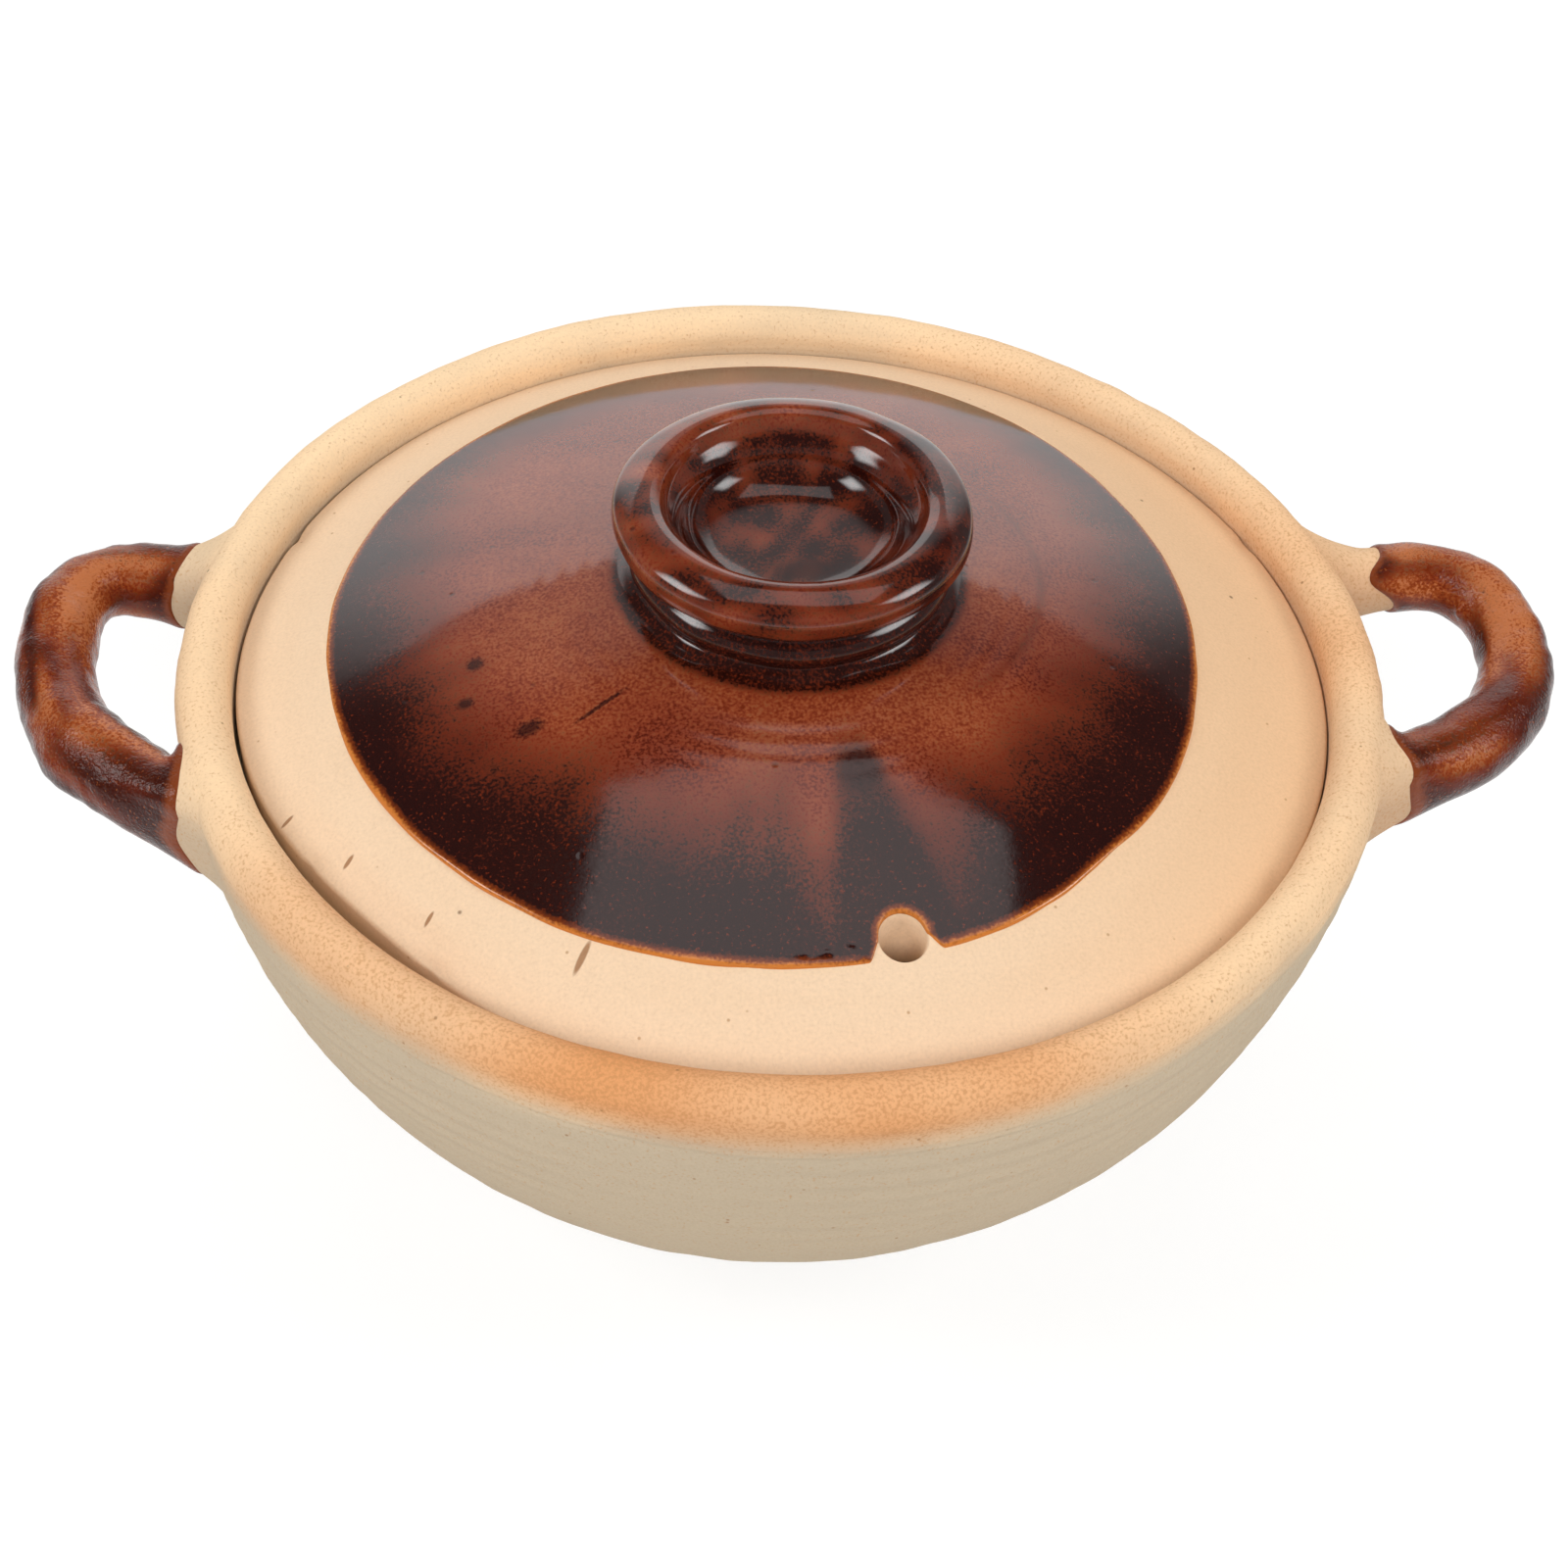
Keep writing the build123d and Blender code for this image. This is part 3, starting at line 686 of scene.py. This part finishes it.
def makeHandleGlaze(label, part):
    # coat over the loop between two ragged lines, rolled in at both and hollow over the clay
    length = loopLine(part)[1]
    random = np.random.default_rng(part["seed"])
    ends = []
    for bare, slant in zip(part["bare"], dip["slant"]):
        wave = sum(random.uniform(0.3, 1) * np.sin(k * aroundLoop + random.uniform(0, 6)) / k**0.7
                   for k in (1, 2, 3, 4))
        ends.append((bare + slant * np.cos(aroundLoop) + dip["rag"] * wave) * mm / length)
    for turn, width, reach in part["lobes"]:
        ends[0] = ends[0] - reach * mm / length * near(turn, width, aroundLoop)
    first, last = ends[0], 1 - ends[1]
    tuck = np.radians(line(-20, 90, 9))
    over, under = line(0, 1, 122)[1:-1], line(1, 0, 30)[1:-1]
    share = np.r_[0 * tuck, over, 1 + 0 * tuck, under][:, None]
    stretch = np.r_[-np.cos(tuck), 0 * over, np.cos(tuck[::-1]), 0 * under][:, None] * dip["roll"] / length
    skin = np.r_[np.sin(tuck), 1 + 0 * over, np.sin(tuck[::-1]), -0.55 + 0 * under][:, None] * dip["skin"]
    s = first + (last - first) * share + stretch
    grid = handleSkin(part, s, aroundLoop, skin)
    margin = np.minimum(s - first, last - s) * length + dip["roll"]
    flow = polar(dip["flowRadius"], aroundLoop, s * dip["flowLength"])
    # thick in patches, along both lines and in a few streaks; darker away from the top, where glaze ran down and
    # shade is painted in, and darker toward the front
    poolAndPaintedShade = part["poolAndPaintedShade"] + dip["patch"] * lumps(part["seed"] + 2, flow, 9 * mm)
    poolAndPaintedShade = poolAndPaintedShade + dip["edgePool"] * rise(5 * mm, 1 * mm, margin)
    # painted shade: darker at the sides and underneath than on top, along with glaze that ran down
    poolAndPaintedShade = poolAndPaintedShade + dip["underPoolAndPaintedShade"] * (1 - hump(1.3, 1.1, aroundLoop)) + dip["frontDarkening"] * rise(0.55, 0.8, s)
    for turn, width, low, high, depth in part["streaks"]:
        wander = radians(turn) + 0.2 * np.sin(17 * s + turn)
        streak = hump(0, radians(width), apart(aroundLoop, wander))
        poolAndPaintedShade = poolAndPaintedShade + depth * streak * rise(low - 0.06, low + 0.02, s) * rise(high + 0.06, high - 0.02, s)
    marks = {"margin": margin, "flow": flow, "poolAndPaintedShade": poolAndPaintedShade}
    return piece(label + "HandleGlaze", grid, "pot", [label + "_handle_glaze"], False, marks)


handlePieces = [(makeHandle(*item), makeHandleGlaze(*item)) for item in handles.items()]


def newTree(name):
    # empty node tree of a new material
    made = bpy.data.materials.new(name)
    made.use_nodes = True
    made.node_tree.nodes.clear()
    return made, made.node_tree


def add(owner, kind, inputs=None, stops=None, **settings):
    # outputs of a new shader node in a tree, or in the tree of an output; an input is a value or an output
    tree = owner.id_data
    node = tree.nodes.new("ShaderNode" + kind)
    for label, value in settings.items():
        setattr(node, label, value)
    for label, value in (inputs or {}).items():
        if isinstance(value, bpy.types.NodeSocket):
            tree.links.new(value, node.inputs[label])
        else:
            node.inputs[label].default_value = value
    if stops:
        ramp = node.color_ramp
        while len(ramp.elements) < len(stops):
            ramp.elements.new(0.5)
        for element, (place, colour) in zip(ramp.elements, stops):
            element.position = place
            element.color = linear(colour)
    return node.outputs


def reckon(operation, *values, clamp=False):
    # arithmetic on numbers, the first one an output
    return add(values[0], "Math", dict(enumerate(values)), operation=operation, use_clamp=clamp)[0]


def summed(base, *terms):
    # base plus each term times its factor
    for value, factor in terms:
        base = reckon("MULTIPLY_ADD", value, factor, base)
    return base


def vectors(operation, *values, output=0):
    # arithmetic on vectors, the first one an output
    return add(values[0], "VectorMath", dict(enumerate(values)), operation=operation)[output]


def ranged(value, low, high, least=0.0, most=1.0, smooth=False):
    # low to high carried to least to most, straight or as a smooth step, held beyond
    inputs = {"Value": value, "From Min": low, "From Max": high, "To Min": least, "To Max": most}
    kind = "SMOOTHSTEP" if smooth else "LINEAR"
    return add(value, "MapRange", inputs, interpolation_type=kind)[0]


def tint(share, under, over):
    # a colour laid over another one by a share
    under = linear(under) if isinstance(under, str) else under
    return add(share, "Mix", {0: share, 6: under, 7: linear(over)}, data_type="RGBA")[2]


def stored(tree, label, output="Fac"):
    # value that a piece carries on its points
    return add(tree, "Attribute", attribute_name=label)[output]


def placed(tree):
    # where on its piece a point lies
    return add(tree, "TexCoord")["Object"]


def noise(place, size, detail, roughness=0.5):
    # cloudy pattern of a size
    inputs = {"Vector": place, "Scale": 1 / size, "Detail": detail, "Roughness": roughness}
    return add(place, "TexNoise", inputs)["Fac"]


def dots(place, size, rim, channel, share, depth=1.0):
    # a soft round dot in each cell of a size, kept in a share of the cells
    cell = add(place, "TexVoronoi", {"Vector": place, "Scale": 1 / size})
    draw = add(place, "SeparateColor", {0: cell["Color"]})[channel]
    return reckon("MULTIPLY", ranged(cell["Distance"], *rim, most=depth), reckon("LESS_THAN", draw, share))


def oval(place, x, y, turn, length, width):
    # distance from an oval's middle in millimetres, 1 on its outline
    inputs = {"Vector": place, "Location": (x * mm, y * mm, 0), "Rotation": (0, 0, radians(turn)),
              "Scale": (length * mm / 2, width * mm / 2, 1.0)}
    local = add(place, "Mapping", inputs, vector_type="TEXTURE")[0]
    return vectors("LENGTH", local, output="Value")


def surface(tree, colour, rough, height, look):
    # principled shader on a finely bumped skin
    inputs = {"Strength": look["peel"], "Distance": look["relief"], "Height": height}
    bump = add(tree, "Bump", inputs)[0]
    inputs = {"Base Color": colour, "Roughness": rough, "IOR": look["ior"], "Normal": bump,
              "Specular IOR Level": look["shine"]}
    add(tree, "OutputMaterial", {0: add(tree, "BsdfPrincipled", inputs)[0]})


# Clay and glaze: values that all finishes of the kind start from
clayBase = dict(
    cloudSize=34 * mm, drift=16 * mm, sandSize=0.5 * mm, sandBand=(0.3, 0.7), sandTone=(1.03, 0.95),
    streakSize=30 * mm, streakFlat=14.0, streakBand=(0.35, 0.7), speckFlush=0.16, speckBand=(0.60, 0.76),
    fleckSize=2.6 * mm, fleckRim=(0.13, 0.06), fleckDepth=0.7,
    pitSize=8.5 * mm, pitRim=(0.055, 0.025), pitStain=0.75,
    strawRim=(1.1, 0.75), strawDepth=0.85, straws=(), flushDepth=0.0, paintedShadeTowardX=(0.0, 1.0, 0.0),
    roughness=0.92, peel=0.3, relief=0.15 * mm, ior=1.45, shine=0.25,
)
glazeBase = dict(
    cloudSize=26 * mm, runSize=7 * mm, dustSize=0.52 * mm, toneReach=0.4, darkReach=0.5,
    rustBand=(0.36, 0.28), rustDepth=0.6, spotRag=1.2, spotRim=(1.8, 1.2), spotDepth=0.8, spots=(),
    edgeDust=1.2 * mm, edgeCloud=1.6 * mm, edgeRims=((2.9 * mm, 2 * mm), (2.1 * mm, 1.5 * mm)),
    bubbleSize=7 * mm, bubbleRim=(0.10, 0.03), bubbleStain=0.6, bubbles=0.4, flow=0.35, settle=0.0,
    peel=0.12, peelSize=6 * mm, relief=0.2 * mm, glossBand=(0.35, 0.7), shine=0.5, ior=1.6,
)


def clay(name, finish):
    # fired clay from the wheel: matt and a little sandy, with iron flecks and open pits; hot places flush orange
    look = {**clayBase, **finish}
    made, tree = newTree(name)
    place = placed(tree)
    spot = add(tree, "SeparateXYZ", {0: place})
    flush = stored(tree, "flush")
    cloud = noise(place, look["cloudSize"], 3.0)
    sand = noise(place, look["sandSize"], 2.0)
    flat = add(tree, "Mapping", {"Vector": place, "Scale": (1.0, 1.0, look["streakFlat"])})[0]
    streak = noise(flat, look["streakSize"], 4.0)
    # cool clay below and warm clay above, streaked and flushed by the fire, then painted shade in the flush colour
    # darkening it along X
    hot = ranged(summed(spot["Z"], (cloud, look["drift"])), *look["warmBand"], smooth=True)
    colour = tint(hot, look["cool"], look["warm"])
    band = ranged(streak, *look["streakBand"], most=look["streak"], smooth=True)
    colour = tint(band, colour, look["shade"])
    colour = tint(reckon("MULTIPLY", flush, look["flushDepth"], clamp=True), colour, look["flush"])
    # painted shade: the clay darkens toward +X, its right side
    low, high, depth = look["paintedShadeTowardX"]
    colour = tint(ranged(spot["X"], low, high, most=depth, smooth=True), colour, look["flush"])
    # sandy specks, iron flecks, pits and burnt-in straws
    speck = ranged(summed(sand, (flush, look["speckFlush"])), *look["speckBand"], most=look["speckle"])
    colour = tint(speck, colour, look["speck"])
    fleck = dots(place, look["fleckSize"], look["fleckRim"], 0, look["flecks"], look["fleckDepth"])
    colour = tint(fleck, colour, look["fleck"])
    hole = dots(place, look["pitSize"], look["pitRim"], 1, look["pits"])
    colour = tint(reckon("MULTIPLY", hole, look["pitStain"]), colour, look["pit"])
    for straw in look["straws"]:
        mark = ranged(oval(place, *straw), *look["strawRim"], most=look["strawDepth"])
        colour = tint(mark, colour, look["straw"])
    colour = vectors("MULTIPLY", colour, ranged(sand, *look["sandBand"], *look["sandTone"]))
    surface(tree, colour, look["roughness"], reckon("SUBTRACT", sand, hole), look)
    return made


def glaze(name, finish):
    # iron glaze melted to glass: glossy, near black where it ran thick and where shade is painted in, rust where it
    # is thin, orange at its edge
    look = {**glazeBase, **finish}
    made, tree = newTree(name)
    place = placed(tree)
    poolAndPaintedShade = stored(tree, "poolAndPaintedShade")
    cloud = noise(place, look["cloudSize"], 3.0)
    run = noise(stored(tree, "flow", "Vector"), look["runSize"], 4.0, 0.6)
    dust = noise(place, look["dustSize"], 2.5)
    # tone by cloud, run and dust, darker where it settled and where shade is painted in, then near black where it is
    # thick and where the painted shade is deep
    tone = summed(cloud, (run, look["flow"]), (dust, look["grain"]), (poolAndPaintedShade, -look["settle"]))
    middle, reach = 0.5 * (1 + look["flow"] + look["grain"]) - 0.3 * look["settle"], look["toneReach"]
    tone = ranged(tone, middle - reach, middle + reach)
    colour = add(tree, "ValToRGB", {0: tone}, look["tones"])[0]
    thickAndPaintedShade = summed(poolAndPaintedShade, (run, look["streaks"]), (dust, look["specks"]))
    middle, reach = 0.5 * (look["streaks"] + look["specks"]) + 0.5, look["darkReach"]
    dark = ranged(thickAndPaintedShade, middle - reach, middle + reach, most=look["depth"], smooth=True)
    colour = tint(dark, colour, look["dark"])
    # rust grains, dark spots, the thin edge and burst bubbles
    colour = tint(ranged(dust, *look["rustBand"], most=look["rustDepth"]), colour, look["rust"])
    for spot in look["spots"]:
        far = summed(oval(place, *spot), (dust, look["spotRag"]))
        colour = tint(ranged(far, *look["spotRim"], most=look["spotDepth"]), colour, look["dark"])
    ragged = summed(stored(tree, "margin"), (dust, look["edgeDust"]), (cloud, look["edgeCloud"]))
    for rim, shade in zip(look["edgeRims"], look["thin"]):
        colour = tint(ranged(ragged, *rim), colour, shade)
    hole = dots(place, look["bubbleSize"], look["bubbleRim"], 0, look["bubbles"])
    colour = tint(reckon("MULTIPLY", hole, look["bubbleStain"]), colour, look["dark"])
    peel = summed(noise(place, look["peelSize"], 2.0), (dust, look["pebble"]))
    rough = ranged(dust, *look["glossBand"], *look["gloss"])
    surface(tree, colour, rough, reckon("SUBTRACT", peel, hole), look)
    return made


# Finishes: what each clay and glaze was fired to. A straw or spot is X, Y, turn, length and width in millimetres.
finishes = dict(
    buffClay=dict(
        cool="#C6B49B", warm="#FFDDB2", warmBand=(76 * mm, 90 * mm), shade="#BDAC95", streak=0.12,
        flush="#DA9258", flushDepth=0.8, speckle=0.5, speck="#CC8E58",
        fleck="#9A6A42", flecks=0.10, pit="#5E4631", pits=0.3,
    ),
    peachClay=dict(
        cool="#EBCAA6", warm="#EED0AF", warmBand=(60 * mm, 80 * mm), shade="#E8C6A2", streak=0.2,
        # painted shade: the lid clay has no fire flush, so its flush colour only darkens its right side toward +X
        flush="#E6B88A", paintedShadeTowardX=(10 * mm, 90 * mm, 0.7), speckle=0.15, speck="#E0B184",
        fleck="#B98A5E", flecks=0.12, pit="#6B4A30", pits=0.4, straw="#9A6A44",
        straws=((-33.9, -69.4, 63, 5.6, 1.1), (-79.6, -36.7, 45, 2.6, 0.7), (-69.4, -46.8, 50, 2.4, 0.8),
                (-56.6, -59.5, 55, 2.4, 0.7)),
    ),
    ironGlaze=dict(
        tones=((0, "#4C170B"), (0.35, "#7A301A"), (0.7, "#924527"), (1, "#AC603A")),
        dark="#200706", rust="#7E3012", thin=("#7A3410", "#CE7C34"),
        grain=1.6, streaks=0.6, specks=1.8, depth=0.98, pebble=0.16, gloss=(0.06, 0.13),
        spots=((-42, -30.1, 20, 5, 3.2), (-52.1, -22.7, 0, 2.8, 2.4), (-50.8, -14.8, 0, 3, 2.8),
               (-31, -28, 34, 10, 0.9), (3, -6, 0, 13, 6), (8.2, -42.2, 0, 8, 9)),
    ),
    handleGlaze=dict(
        tones=((0, "#5A1A08"), (0.35, "#7C2D0F"), (0.7, "#98481F"), (1, "#BA6E42")),
        dark="#300D06", rust="#A85F30", thin=("#7C3A1A", "#7C3A1A"),
        grain=1.8, streaks=1.8, specks=1.9, depth=0.88, pebble=0.9, gloss=(0.08, 0.24),
        flow=0.8, settle=0.8, peel=0.6, peelSize=1.8 * mm, relief=0.3 * mm, shine=0.19,
    ),
    linerGlaze=dict(
        tones=((0, "#34130B"), (0.5, "#57200F"), (1, "#6C2C14")),
        dark="#1A0807", rust="#7A3617", thin=("#57200F", "#57200F"),
        grain=0.9, streaks=1, specks=1.6, depth=0.9, pebble=0.12, gloss=(0.06, 0.14),
        bubbles=0.3,
    ),
)
clayHandles, glazedHandles = zip(*handlePieces)
dressed = (
    (clay("buffClayThrownAndFired", finishes["buffClay"]), (potBowl, *clayHandles)),
    (clay("peachClayThrownAndFired", finishes["peachClay"]), (lidClay, lidKnob)),
    (glaze("ironGlazeDippedAndFired", finishes["ironGlaze"]), (lidGlaze,)),
    (glaze("ironGlazeBrushedAndFired", finishes["handleGlaze"]), glazedHandles),
    (glaze("linerGlazePouredAndFired", finishes["linerGlaze"]), (bowlLiner,)),
)
for finish, members in dressed:
    for member in members:
        member.data.materials.clear()
        member.data.materials.append(finish)
print("finishes set")

# Stage: a white paper sweep all round, a soft box at each side, a panel overhead, a tall white sheet behind, and
# lights at the front and the rear that reflections leave out
stage = dict(
    floorReach=2.2, cove=0.7, wallTop=1.9, drop=0.0001,
    paper="#E6E6E4", fill=0.09, shadowPaper="#959594", glow=(0.76, 1.0), glowReach=(0.25, 1.0),
    backdrop=(0.71, 0.91, 0.08), nearFloor=(0.6, 0.25), ambient=0.06, aim=(0, 0, 0.06),
    boxes=dict(
        left=dict(place=(-0.947, -0.15, 0.82), size=(0.65, 0.70), radiance=7.3, soft=0.5),
        right=dict(place=(0.934, -0.216, 0.82), size=(0.60, 0.65), radiance=6.4, soft=0.5),
        overhead=dict(place=(0.065, 0.09, 1.05), size=(0.83, 0.40), radiance=1.0, soft=0.03,
                      aim=(0.065, 0.09, 0), turn=-4),
        behind=dict(place=(0.03, 1.25, 1.15), size=(2.5, 2.2), radiance=0.52, soft=0.42,
                    aim=(0.03, 0, 1.15)),
        front=dict(place=(0.0, -1.15, 1.02), size=(1.2, 0.7), radiance=5.3, soft=0.1, shine=False),
        rear=dict(place=(0.0, 1.10, 1.05), size=(1.6, 1.0), radiance=1.3, soft=0.1, shine=False),
    ),
)
white = (1, 1, 1, 1)


def makeSweep(part=stage):
    # paper that curves from the floor up into a wall
    reach, cove = part["floorReach"], part["cove"]
    path = chain(line((0.001, 0), (reach, 0), 24), arc((reach, cove), cove, -90, 0, 12),
                 line((reach + cove, cove), (reach + cove, part["wallTop"]), 4))
    grid = spun(path, turns(96)) - np.array([0, 0, part["drop"]])
    index = np.arange(grid.shape[0] * grid.shape[1]).reshape(grid.shape[:2])
    low, high = index[:-1], index[1:]
    quads = np.stack([low, high, np.roll(high, -1, 1), np.roll(low, -1, 1)], -1).reshape(-1, 4)
    made = smoothMesh("sweep", grid.reshape(-1, 3), quads.tolist())
    made.data.materials.append(sweepPaper())


def sweepPaper(part=stage):
    # plain paper to diffuse light; it glows white to the camera, and to reflections behind the pot and close to it
    finish, tree = newTree("sweepPaperRolled")
    rays = add(tree, "LightPath")
    seen = rays["Is Camera Ray"]
    for ray in ("Is Glossy Ray", "Is Transmission Ray"):
        seen = reckon("MAXIMUM", seen, rays[ray])
    place = placed(tree)
    far = vectors("LENGTH", place, output="Value")
    power = ranged(far, *part["glowReach"], *part["glow"])
    spot = add(tree, "SeparateXYZ", {0: place})
    outward = vectors("LENGTH", vectors("MULTIPLY", place, (1, 1, 0)), output="Value")
    behind = ranged(reckon("DIVIDE", spot["Y"], outward), *part["backdrop"], smooth=True)
    beside = ranged(far, *part["nearFloor"], smooth=True)
    dim = reckon("MAXIMUM", reckon("MAXIMUM", behind, beside), rays["Is Camera Ray"])
    power = reckon("MULTIPLY", power, dim)
    sheets = []
    for colour, strength in ((part["paper"], part["fill"]), (part["shadowPaper"], power)):
        sheet = add(tree, "BsdfDiffuse", {"Color": linear(colour)})[0]
        glow = add(tree, "Emission", {"Color": white, "Strength": strength})[0]
        sheets.append(add(tree, "AddShader", {0: sheet, 1: glow})[0])
    mixed = add(tree, "MixShader", {0: seen, 1: sheets[0], 2: sheets[1]})[0]
    add(tree, "OutputMaterial", {0: mixed})
    return finish


def softEdges(lamp, share):
    # full brightness in the middle, falling smoothly to nothing over a share of the width at each rim
    lamp.use_nodes = True
    tree = lamp.node_tree
    tree.nodes.clear()
    spot = add(tree, "NewGeometry")["Parametric"]
    rest = vectors("MULTIPLY_ADD", spot, (-1, -1, -1), (1, 1, 1))
    both = vectors("MULTIPLY", spot, rest)
    sides = add(tree, "SeparateXYZ", {0: both})
    fall = [ranged(sides[way], 0.0, share * (1 - share), smooth=True) for way in ("X", "Y")]
    beam = add(tree, "Emission", {"Strength": reckon("MULTIPLY", *fall)})[0]
    add(tree, "OutputLight", {0: beam})


def turned(degrees, axis):
    # rotation in degrees about an axis
    return Matrix.Rotation(radians(degrees), 4, axis)


def makeLights(part=stage):
    # a lamp's power is its radiance times its area times pi
    for label, box in part["boxes"].items():
        lamp = bpy.data.lights.new(label, "AREA")
        lamp.shape = "RECTANGLE"
        lamp.size, lamp.size_y = box["size"]
        lamp.energy = box["radiance"] * box["size"][0] * box["size"][1] * math.pi
        softEdges(lamp, box["soft"])
        made = link(label, lamp)
        ahead = Vector(box.get("aim", part["aim"])) - Vector(box["place"])
        aim = ahead.to_track_quat("-Z", "Y").to_matrix().to_4x4()
        made.matrix_world = Matrix.Translation(box["place"]) @ turned(box.get("turn", 0), "Z") @ aim
        made.visible_camera = False
        made.visible_glossy = box.get("shine", True)
    world = bpy.data.worlds.new("studio")
    scene.world = world
    world.use_nodes = True
    tree = world.node_tree
    tree.nodes.clear()
    dim = add(tree, "Background", {"Color": white, "Strength": part["ambient"]})[0]
    add(tree, "OutputWorld", {0: dim})


makeSweep()
makeLights()
print("stage set")

# Camera: where the photo was taken from
shot = dict(
    place=(-30.25 * mm, -307.2 * mm, 349.2 * mm), azimuth=-5.9, elevation=43.13, roll=3.54,
    lens=56.25, sensor=36.0, shift=(-0.0035, -0.0379), nearest=0.01,
)


def makeCamera(part=shot):
    # turned to its azimuth, tipped to its elevation, then rolled about its own axis
    data = bpy.data.cameras.new("shot")
    data.lens = part["lens"]
    data.sensor_width = part["sensor"]
    data.shift_x, data.shift_y = part["shift"]
    data.clip_start = part["nearest"]
    made = link("shot", data)
    turn = turned(part["azimuth"], "Z") @ turned(90 - part["elevation"], "X") @ turned(part["roll"], "Z")
    made.matrix_world = Matrix.Translation(part["place"]) @ turn
    scene.camera = made


makeCamera()
scene.view_settings.view_transform = "Standard"
